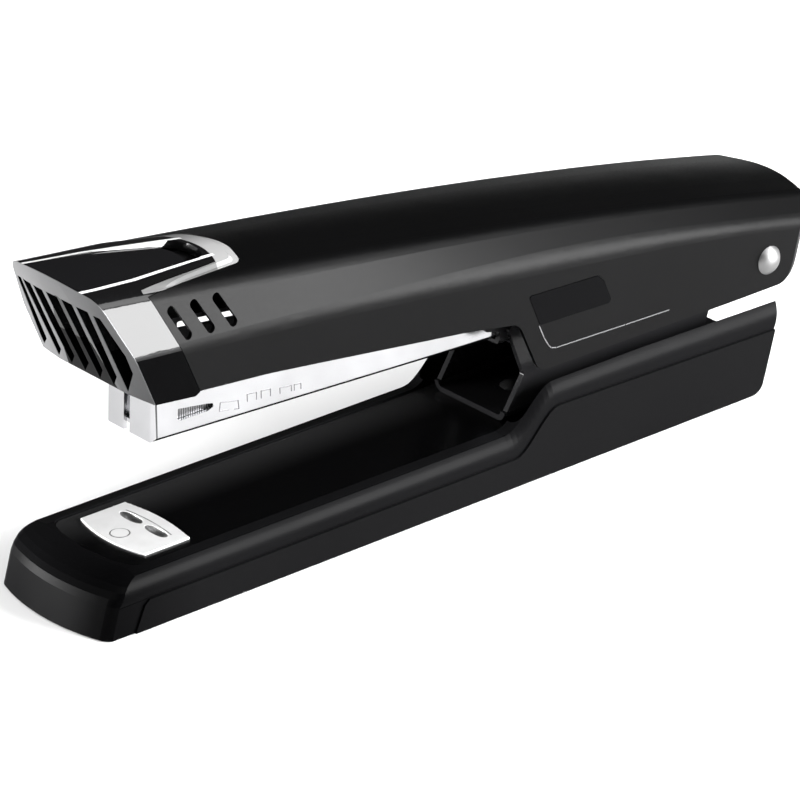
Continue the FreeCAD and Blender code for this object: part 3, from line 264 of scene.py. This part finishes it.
def cap_finish(name):
    """Polished dark nose whose raked grille face has a lighter satin finish; bevel highlights, a lighter far side of
    the grille face and a darker lower side are painted into the colour.
    """
    m = Mat(name)
    m.b.inputs["Specular IOR Level"].default_value = 0.17
    t = NODES["nose_cap"].matrix_world.translation
    sep = m.t.nodes.new("ShaderNodeSeparateXYZ")
    m.link(m.tc.outputs["Object"], sep.inputs[0])
    x = m.math("ADD", sep.outputs["X"], t.x)
    z = m.math("ADD", sep.outputs["Z"], t.z)
    bulge = m.math("MULTIPLY", m.math("MULTIPLY", sep.outputs["Y"], sep.outputs["Y"]), 4.9)
    plane = m.math("ADD", m.math("ADD", m.math("MULTIPLY", z, -0.41), S + (1.2 + 0.41 * 69.9) / 1000.0 + 0.0001), bulge)
    face = m.math("LESS_THAN", m.math("SUBTRACT", x, plane), 0.0)
    below = m.math("LESS_THAN", m.math("ADD", m.math("MULTIPLY", m.math("SUBTRACT", x, S), 0.0815), z), 0.0577)
    # lower specular level on the cap's lower sides; their colour is painted near black further down as painted shade
    m.link(m.math("SUBTRACT", 0.17, m.math("MULTIPLY", below, 0.156)), m.b.inputs["Specular IOR Level"])
    soft = m.noise(45.0, 5.0, 0.6)
    for sock, (a, b) in {"Roughness": ((0.07, 0.11), (0.36, 0.46)), "Metallic": ((0.0, 0.0), (0.85, 0.9))}.items():
        mix = m.t.nodes.new("ShaderNodeMix")
        mix.data_type = "FLOAT"
        m.link(face, mix.inputs["Factor"])
        m.link(m.rng(soft, *a), mix.inputs["A"])
        m.link(m.rng(soft, *b), mix.inputs["B"])
        m.link(mix.outputs["Result"], m.b.inputs[sock])
    # painted highlights: a pale line on both sides of the top panel, on the tongue's flanks and on its rear rim is
    # painted into the colour
    xm = m.math("MULTIPLY", m.math("SUBTRACT", x, S), 1000.0)
    ym = m.math("MULTIPLY", m.math("ABSOLUTE", sep.outputs["Y"]), 1000.0)
    zt = m.math("ADD", m.math("MULTIPLY", z, 1000.0), m.math("MULTIPLY", m.math("SUBTRACT", xm, 20.0), 0.119))

    def lin(x0, v, slope):
        return m.math("ADD", m.math("MULTIPLY", m.math("SUBTRACT", xm, x0), slope), v)

    def ge(a, b):
        return m.math("GREATER_THAN", a, b)

    def both(*parts):
        out = parts[0]
        for q in parts[1:]:
            out = m.math("MULTIPLY", out, q)
        return out

    rim = m.math("MINIMUM", lin(15.0, 7.95, -0.0522), lin(15.0, 7.95, -0.155))
    line = both(ge(ym, rim), ge(m.math("ADD", rim, 0.85), ym), ge(zt, 67.2), ge(36.5, xm))
    up = m.math("MINIMUM", lin(13.0, 13.0, -0.231), lin(29.0, 9.3, -0.19))
    flank = both(ge(ym, up), ge(xm, 13.5), ge(zt, 67.0), ge(39.5, xm))
    rear = both(ge(xm, m.math("SUBTRACT", 36.6, m.math("MULTIPLY", m.math("MULTIPLY", ym, ym), 0.03))), ge(zt, 67.3))
    not_face = m.math("SUBTRACT", 1.0, face)
    painted_highlight_mask = m.math("MULTIPLY", m.math("MAXIMUM", line, m.math("MAXIMUM", flank, rear)), not_face)
    # the painted highlight fades towards the far side and is dimmed on the flanks away from the rear rim
    fade = m.rng(m.math("ADD", m.math("MULTIPLY", sep.outputs["Y"], -1000.0), m.math("MULTIPLY", m.noise(60.0, 2.0), 2.0)), 0.12, 1.0, -9.0, 2.0)
    flank_highlight_dimming = m.math("SUBTRACT", 1.0, m.math("MULTIPLY", m.math("MULTIPLY", flank, m.math("SUBTRACT", 1.0, rear)), 0.6))
    level = m.math("ADD", m.math("MULTIPLY", line, 0.6), m.math("MULTIPLY", m.math("SUBTRACT", 1.0, line), m.math("MULTIPLY", m.math("MULTIPLY", fade, flank_highlight_dimming), 0.26)))
    m.b.inputs["Roughness"].default_value = 0.1
    tone = m.math("ADD", m.math("MULTIPLY", soft, 0.2), m.math("MULTIPLY", face, 0.8))
    base = m.ramp(tone, [(0.05, (0.003, 0.003, 0.0032)), (0.2, (0.0045, 0.0045, 0.0047)), (0.85, (0.105, 0.105, 0.108)), (0.95, (0.13, 0.13, 0.133))])
    painted_highlight_colour = m.ramp(level, [(0.0, (0.02, 0.02, 0.02)), (1.0, (0.98, 0.98, 0.98))])
    def blend_colours(fac, a, b):
        q = m.t.nodes.new("ShaderNodeMix")
        q.data_type = "RGBA"
        m.link(fac, q.inputs["Factor"])
        m.link(a, q.inputs["A"])
        m.link(b, q.inputs["B"])
        return q.outputs["Result"]

    # painted light and shade: the grille face is painted lighter on its far side and darker on its near side
    painted_lit_face_colour = m.ramp(soft, [(0.3, (0.17, 0.17, 0.173)), (0.7, (0.21, 0.21, 0.213))])
    dark = m.ramp(soft, [(0.3, (0.06, 0.06, 0.062)), (0.7, (0.085, 0.085, 0.087))])
    base = blend_colours(face, base, blend_colours(m.rng(sep.outputs["Y"], 1.0, 0.0, -0.013, 0.014), painted_lit_face_colour, dark))
    # painted shade: the cap's lower sides, away from the grille face, are painted near black
    painted_low_shade = m.t.nodes.new("ShaderNodeMix")
    painted_low_shade.data_type = "RGBA"
    m.link(m.math("MULTIPLY", below, not_face), painted_low_shade.inputs["Factor"])
    m.link(base, painted_low_shade.inputs["A"])
    m.link(m.ramp(soft, [(0.3, (0.0006, 0.0006, 0.0007)), (0.7, (0.0011, 0.0011, 0.0012))]), painted_low_shade.inputs["B"])
    # lay the painted highlight colour over the cap's colour
    pick = m.t.nodes.new("ShaderNodeMix")
    pick.data_type = "RGBA"
    m.link(painted_highlight_mask, pick.inputs["Factor"])
    m.link(painted_low_shade.outputs["Result"], pick.inputs["A"])
    m.link(painted_highlight_colour, pick.inputs["B"])
    m.link(pick.outputs["Result"], m.b.inputs["Base Color"])
    m.link(m.bump(m.noise(260.0, 2.0, 0.4), 0.1, 0.00004).outputs[0], m.b.inputs["Normal"])
    return m.m


def staples(name):
    """Wire legs, their colour kept dark as painted shade inside the magazine, with a dark line between one staple and
    the next, partly a real joint and partly painted shade.
    """
    m = Mat(name).set(Metallic=1.0)
    sep = m.t.nodes.new("ShaderNodeSeparateXYZ")
    m.link(m.tc.outputs["Object"], sep.inputs[0])
    f = m.math("FRACT", m.math("MULTIPLY", sep.outputs["X"], 1.0 / 0.00056))
    # painted shade: the wire colour is kept dark, and darkest at the line between one staple and the next
    m.link(m.ramp(f, [(0.0, (0.012, 0.012, 0.012)), (0.22, (0.03, 0.03, 0.03)), (0.42, (0.13, 0.13, 0.135)), (0.75, (0.17, 0.17, 0.175)), (0.98, (0.03, 0.03, 0.03))]), m.b.inputs["Base Color"])
    m.link(m.rng(m.noise(200.0, 3.0), 0.28, 0.4), m.b.inputs["Roughness"])
    m.link(m.bump(m.math("SINE", m.math("MULTIPLY", f, math.pi)), 0.5, 0.0001).outputs[0], m.b.inputs["Normal"])
    return m.m


def place(m, node):
    """Surface position in millimetres as (x behind the base's front corners, |y|, z)."""
    t = NODES[node].matrix_world.translation
    sep = m.t.nodes.new("ShaderNodeSeparateXYZ")
    m.link(m.tc.outputs["Object"], sep.inputs[0])
    x = m.math("MULTIPLY", m.math("ADD", sep.outputs["X"], t.x - S), 1000.0)
    y = m.math("MULTIPLY", m.math("ABSOLUTE", sep.outputs["Y"]), 1000.0)
    z = m.math("MULTIPLY", m.math("ADD", sep.outputs["Z"], t.z), 1000.0)
    return x, y, z


def near(m, value, centre, half):
    return m.math("LESS_THAN", m.math("ABSOLUTE", m.math("SUBTRACT", value, centre)), half)


TOP_ANVIL = max((o.matrix_world @ v.co).z for o in [NODES["anvil_plate"]] for v in o.data.vertices) * 1000.0


def satin_plate(name, node=None):
    """Bright satin zinc that scatters as well as reflects; the anvil's pockets are painted darker as painted shade, and
    it has a dark ring and a pressed line.
    """
    m = Mat(name).set(Metallic=0.35)
    light = m.ramp(m.noise(160.0, 4.0), [(0.3, (0.60, 0.60, 0.60)), (0.7, (0.68, 0.68, 0.68))])
    if node:
        x, y, z = place(m, node)
        line_and_shade_colour = m.ramp(m.noise(500.0, 4.0, 0.6, stretch=(1.0, 0.4, 1.0)), [(0.35, (0.02, 0.02, 0.02)), (0.55, (0.12, 0.12, 0.12)), (0.7, (0.35, 0.35, 0.35))])
        # painted shade: the pockets' recessed surfaces take the dark streaked colour; the ring, the pressed line and a
        # line below the top take it as marks
        painted_pocket_shade = m.math("MULTIPLY", m.math("MULTIPLY", m.math("LESS_THAN", z, 11.87), near(m, x, 22.05, 2.2)), m.math("LESS_THAN", y, 7.7))
        r = m.math("SQRT", m.math("ADD", m.math("POWER", m.math("SUBTRACT", x, 16.2), 2.0), m.math("POWER", y, 2.0)))
        ring = near(m, r, 1.93, 0.13)
        bend = m.math("ADD", 23.9, m.math("MULTIPLY", m.math("POWER", y, 2.0), -0.012))
        arc = m.math("MULTIPLY", m.math("LESS_THAN", m.math("ABSOLUTE", m.math("SUBTRACT", x, bend)), 0.15), m.math("LESS_THAN", y, 7.2))
        for mask in (painted_pocket_shade, m.math("MULTIPLY", m.math("MAXIMUM", ring, arc), 0.85), m.math("MULTIPLY", near(m, z, TOP_ANVIL - 0.55, 0.16), 0.8)):
            pick = m.t.nodes.new("ShaderNodeMix")
            pick.data_type = "RGBA"
            m.link(mask, pick.inputs["Factor"])
            m.link(light, pick.inputs["A"])
            m.link(line_and_shade_colour, pick.inputs["B"])
            light = pick.outputs["Result"]
    m.link(light, m.b.inputs["Base Color"])
    m.link(m.rng(m.noise(240.0, 4.0), 0.3, 0.45), m.b.inputs["Roughness"])
    m.link(m.bump(m.noise(900.0, 2.0), 0.08, 0.00004).outputs[0], m.b.inputs["Normal"])
    return m.m


def magazine_finish(name):
    """Bright plating with a painted shadow line where the sheet is bent."""
    m = Mat(name).set(Metallic=1.0)
    x, y, z = place(m, "magazine")
    flat = m.math("ADD", z, m.math("MULTIPLY", m.math("SUBTRACT", x, 172.7), 0.0459))
    c = m.ramp(m.noise(90.0, 2.0, stretch=(1.0, 1.0, 1.0)), [(0.3, (0.35, 0.35, 0.355)), (0.7, (0.41, 0.41, 0.42))])
    # painted shadow: a dark line along the bends of the side walls
    side = m.math("GREATER_THAN", y, 7.1)
    upright = m.math("MULTIPLY", near(m, x, 20.15, 0.17), side)
    lower = m.math("MULTIPLY", near(m, flat, 26.25, 0.17), side)
    mask = m.math("MULTIPLY", m.math("MAXIMUM", upright, lower), m.rng(m.noise(70.0, 2.0), 0.55, 1.0))
    pick = m.t.nodes.new("ShaderNodeMix")
    pick.data_type = "RGBA"
    m.link(mask, pick.inputs["Factor"])
    m.link(c, pick.inputs["A"])
    dark = m.ramp(m.noise(40.0, 2.0), [(0.3, (0.012, 0.012, 0.012)), (0.7, (0.03, 0.03, 0.03))])
    m.link(dark, pick.inputs["B"])
    m.link(pick.outputs["Result"], m.b.inputs["Base Color"])
    m.link(m.rng(m.noise(60.0, 4.0, 0.6, stretch=(1.0, 30.0, 30.0)), 0.10, 0.16), m.b.inputs["Roughness"])
    m.link(m.bump(m.noise(900.0, 2.0, 0.5, stretch=(0.6, 6.0, 6.0)), 0.05, 0.00004).outputs[0], m.b.inputs["Normal"])
    return m.m


def plate_enamel(name):
    """Gloss black enamel, painted greyer and given a higher specular level towards its far side: a painted sheen."""
    m = Mat(name)
    sep = m.t.nodes.new("ShaderNodeSeparateXYZ")
    m.link(m.tc.outputs["Object"], sep.inputs[0])
    soft = m.noise(45.0, 3.0)
    # painted sheen: colour and specular level rise towards the far side
    painted_far_sheen = m.math("POWER", m.rng(m.math("ADD", sep.outputs["Y"], m.math("MULTIPLY", soft, 0.001)), 0.0, 1.0, 0.001, 0.0155), 1.6)
    m.link(m.rng(painted_far_sheen, 0.04, 0.5, 0.0, 1.0), m.b.inputs["Specular IOR Level"])
    m.link(m.ramp(painted_far_sheen, [(0.0, (0.0008, 0.0008, 0.0009)), (1.0, (0.019, 0.019, 0.0195))]), m.b.inputs["Base Color"])
    m.link(m.rng(soft, 0.2, 0.26), m.b.inputs["Roughness"])
    m.link(m.bump(m.noise(300.0, 2.0, 0.4), 0.08, 0.00004).outputs[0], m.b.inputs["Normal"])
    return m.m


MATS = {
    "base_shell": base_plastic("base_moulding"),
    "non_slip_sole": rubber("sole_rubber"),
    "base_screws": steel("zinc_dark", (0.35, 0.35, 0.36)),
    "base_plate": plate_enamel("plate_enamel"),
    "anvil_plate": satin_plate("anvil_zinc", "anvil_plate"),
    "anvil_rivet": satin_plate("anvil_rivet_zinc", "anvil_rivet"),
    "pivot_bracket": gloss_black("bracket_enamel", (0.007, 0.007, 0.0075), 0.16, 0.08),
    "bracket_rivets": gloss_black("rivet_enamel", (0.01, 0.01, 0.01), 0.25, 0.1),
    "lift_spring": steel("blued_spring", (0.16, 0.165, 0.19), 0.25),
    "lift_spring_rivet": gloss_black("spring_rivet_enamel", (0.01, 0.01, 0.01), 0.25, 0.1),
    "pivot_rivet": steel("rivet_satin", (0.2, 0.2, 0.2), 0.38, 0.12, 260.0),
    "pivot_spacers": powder("spacer_nylon", (0.02, 0.02, 0.02), 0.5),
    "magazine": magazine_finish("magazine_chrome"),
    "staple_rail": steel("rail_zinc", (0.62, 0.62, 0.64), 0.22),
    "staple_strip": staples("staple_wire"),
    "rod_anchor": steel("anchor_zinc", (0.55, 0.55, 0.56)),
    "guide_rod": chrome("rod_polished", (0.7, 0.7, 0.71), 0.12, False),
    "magazine_carrier": gloss_black("carrier_enamel", (0.008, 0.008, 0.0085), 0.2, 0.1),
    "carrier_rivets": gloss_black("carrier_rivet_enamel", (0.01, 0.01, 0.01), 0.25, 0.1),
    "pusher_spring": steel("spring_wire", (0.52, 0.52, 0.54), 0.25),
    "pusher": powder("pusher_plastic", (0.02, 0.02, 0.021), 0.4),
    "cover_shell": powder("cover_powder_coat"),
    "side_badges": gloss_black("badge_gloss", (0.001, 0.001, 0.0012), 0.08, 0.04, spec=0.03),
    "nose_cap": cap_finish("cap_dark_chrome"),
    "nose_inlay": gloss_black("inlay_piano", (0.003, 0.003, 0.0035), 0.04, 0.03, spec=0.3),
    "driver_arm": chrome("arm_chrome", (0.84, 0.84, 0.85), 0.12),
    "driver_blade": steel("blade_steel", (0.4, 0.4, 0.42), 0.25),
    "driver_arm_studs": steel("stud_zinc", (0.4, 0.4, 0.42), 0.3),
    "cover_spring": steel("cover_spring_steel", (0.42, 0.42, 0.44), 0.25),
    "inner_frame": powder("frame_black", (0.006, 0.006, 0.0065), 0.5),
    "frame_rivets": steel("frame_rivet_zinc", (0.4, 0.4, 0.42), 0.3),
}
for n, o in NODES.items():
    mat = MATS[n]
    for s in o.material_slots:
        s.material = mat
    if not o.material_slots:
        o.data.materials.append(mat)


# ------------------------------------------------------------------ fine detail
def strip_xz(name, lines, y, width, body, mat, depth=0.00006):
    """Thin raised or filled lines on a side face: each line is a list of (x, z) in mm, y the face it lies on."""
    bm = bmesh.new()
    out = -1.0 if y < 0 else 1.0
    for pts in lines:
        q = [Vector((S + a / 1000.0, 0.0, b / 1000.0)) for a, b in pts]
        for a, b in zip(q, q[1:]):
            d = (b - a).normalized()
            n = Vector((-d.z, 0.0, d.x)) * (width / 2000.0)
            e = d * (width / 2000.0)
            ring = [a - e - n, b + e - n, b + e + n, a - e + n]
            lo = [bm.verts.new((v.x, y / 1000.0 - out * 0.00002, v.z)) for v in ring]
            hi = [bm.verts.new((v.x, y / 1000.0 + out * depth, v.z)) for v in ring]
            bm.faces.new(hi)
            bm.faces.new(lo[::-1])
            for i in range(4):
                bm.faces.new((lo[i], lo[(i + 1) % 4], hi[(i + 1) % 4], hi[i]))
    bmesh.ops.recalc_face_normals(bm, faces=bm.faces)
    me = bpy.data.meshes.new(name)
    bm.to_mesh(me)
    bm.free()
    o = bpy.data.objects.new(name, me)
    bpy.context.scene.collection.objects.link(o)
    me.materials.append(mat)
    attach(o, body)
    return o


BODY = {n: o.get("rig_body") or (o.parent.name if o.parent else None) for n, o in NODES.items()}
engrave = steel("engraved_grey", (0.13, 0.13, 0.135), 0.4)
tilt = math.tan(math.radians(2.63))


def on_mag(x, z, slope=0.103):
    """Point on the magazine's side; rows of marks slope down towards the rear."""
    return (x, z - (x - 35.4) * slope)


marks = [[on_mag(37.8, 34.85, 0.19), on_mag(35.5, 34.85, 0.19), on_mag(35.7, 36.6, 0.19), on_mag(40.1, 36.6, 0.19), on_mag(40.3, 34.85, 0.19), on_mag(39.2, 34.85, 0.19)]]
for x0, w, h in ((42.4, 2.3, 1.5), (45.9, 2.3, 1.5), (50.6, 2.9, 1.2), (54.2, 1.7, 1.2)):
    marks.append([on_mag(x0, 35.5), on_mag(x0, 35.5 + h), on_mag(x0 + w, 35.5 + h), on_mag(x0 + w, 35.5)])
for side, tag in ((-7.4, "near"), (7.4, "far")):
    strip_xz("staple_size_marks_" + tag, marks, side, 0.15, BODY["magazine"], engrave)
trim = chrome("trim_silver", (0.2, 0.2, 0.205), 0.25, False)
line = [(108.3, 35.3), (109.6, 32.4), (110.9, 30.3), (111.6, 29.6), (113.0, 29.25), (120.0, 29.05), (132.0, 28.7), (144.1, 28.4)]
for side, tag in ((-18.88, "near"), (18.88, "far")):
    strip_xz("side_trim_line_" + tag, [line], side, 0.21, BODY["cover_shell"], trim, 0.00009)

spring = NODES["pusher_spring"]
soft_spring = bpy.data.objects.new("pusher_spring_coil", spring.data.copy())
bpy.context.scene.collection.objects.link(soft_spring)
soft_spring.matrix_world = spring.matrix_world.copy()
bpy.context.view_layer.update()
soft_spring.data.materials.clear()
soft_spring.data.materials.append(MATS["pusher_spring"])
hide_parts("pusher_spring")
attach(soft_spring, BODY["pusher_spring"])
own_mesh(soft_spring)

lift = NODES["lift_spring"]
lift_leaf = bpy.data.objects.new("lift_spring_leaf", lift.data.copy())
bpy.context.scene.collection.objects.link(lift_leaf)
lift_leaf.matrix_world = lift.matrix_world.copy()
lift_leaf.data.materials.clear()
lift_leaf.data.materials.append(MATS["lift_spring"])
bpy.context.view_layer.update()
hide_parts("lift_spring")
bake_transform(lift_leaf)

cs = NODES["cover_spring"]
cover_leaf = bpy.data.objects.new("cover_spring_leaf", cs.data.copy())
bpy.context.scene.collection.objects.link(cover_leaf)
cover_leaf.matrix_world = cs.matrix_world.copy()
cover_leaf.data.materials.clear()
cover_leaf.data.materials.append(MATS["cover_spring"])
bpy.context.view_layer.update()
w = cover_leaf.matrix_world.copy()
xs = [(w @ v.co).x for v in cover_leaf.data.vertices]
x_free, x_fix = min(xs), min(xs) + 0.028
for v in cover_leaf.data.vertices:
    q = w @ v.co
    k = min(1.0, max(0.0, (x_fix - q.x) / (x_fix - x_free)))
    q.z += 0.0049 * k
    v.co = w.inverted() @ q
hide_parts("cover_spring")
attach(cover_leaf, BODY["cover_spring"])

# ------------------------------------------------------------------ studio
def floor():
    me = bpy.data.meshes.new("floor")
    bm = bmesh.new()
    r = 6.0
    vs = [bm.verts.new((x, y, 0.0)) for x, y in ((-r, -r), (r, -r), (r, r), (-r, r))]
    bm.faces.new(vs)
    bm.to_mesh(me)
    bm.free()
    o = bpy.data.objects.new("floor", me)
    bpy.context.scene.collection.objects.link(o)
    m = Mat("floor_pale")
    m.link(m.ramp(m.noise(3.0, 2.0), [(0.3, (0.86, 0.86, 0.86)), (0.7, (0.88, 0.88, 0.88))]), m.b.inputs["Base Color"])
    m.set(Roughness=0.9)
    m.b.inputs["Specular IOR Level"].default_value = 0.1
    me.materials.append(m.m)


floor()


def area(name, loc, target, size, power, size_y=None, spread=180.0):
    l = bpy.data.lights.new(name, "AREA")
    l.energy = power
    l.shape = "RECTANGLE" if size_y else "SQUARE"
    l.size = size
    if size_y:
        l.size_y = size_y
    l.spread = math.radians(spread)
    o = bpy.data.objects.new(name, l)
    bpy.context.scene.collection.objects.link(o)
    o.location = loc
    d = Vector(target) - Vector(loc)
    o.rotation_euler = d.to_track_quat("-Z", "Y").to_euler()
    return o


world = bpy.data.worlds.new("studio")
bpy.context.scene.world = world
world.use_nodes = True
bg = world.node_tree.nodes["Background"]
bg.inputs[0].default_value = (1, 1, 1, 1)
bg.inputs[1].default_value = 0.05


def softbox(name, target, direction, dist, w, h, radiance, spread=180.0):
    """Rectangular softbox seen from target along direction; radiance is what a mirror there would show."""
    d = Vector(direction).normalized()
    loc = Vector(target) + d * dist
    return area(name, loc, target, w, radiance * math.pi * w * h, h, spread)


softbox("overhead", (0, 0, 0), (0.10, -0.35, 0.93), 1.9, 2.4, 2.2, 1.8)
softbox("key", (-0.03, 0, 0.05), (0.56, -0.76, 0.235), 1.3, 0.8, 0.66, 47.0)
softbox("upper", (0.03, 0, 0.05), (0.61, -0.445, 0.656), 1.3, 0.8, 0.40, 9.0)
softbox("left_back", (-0.09, 0, 0.01), (-0.726, 0.687, 0.10), 1.2, 0.8, 0.25, 78.0)
softbox("fill", (-0.1, 0, 0.02), (-0.62, 0.10, 0.78), 2.0, 1.8, 1.8, 1.6)

bpy.context.scene.view_settings.view_transform = "Standard"
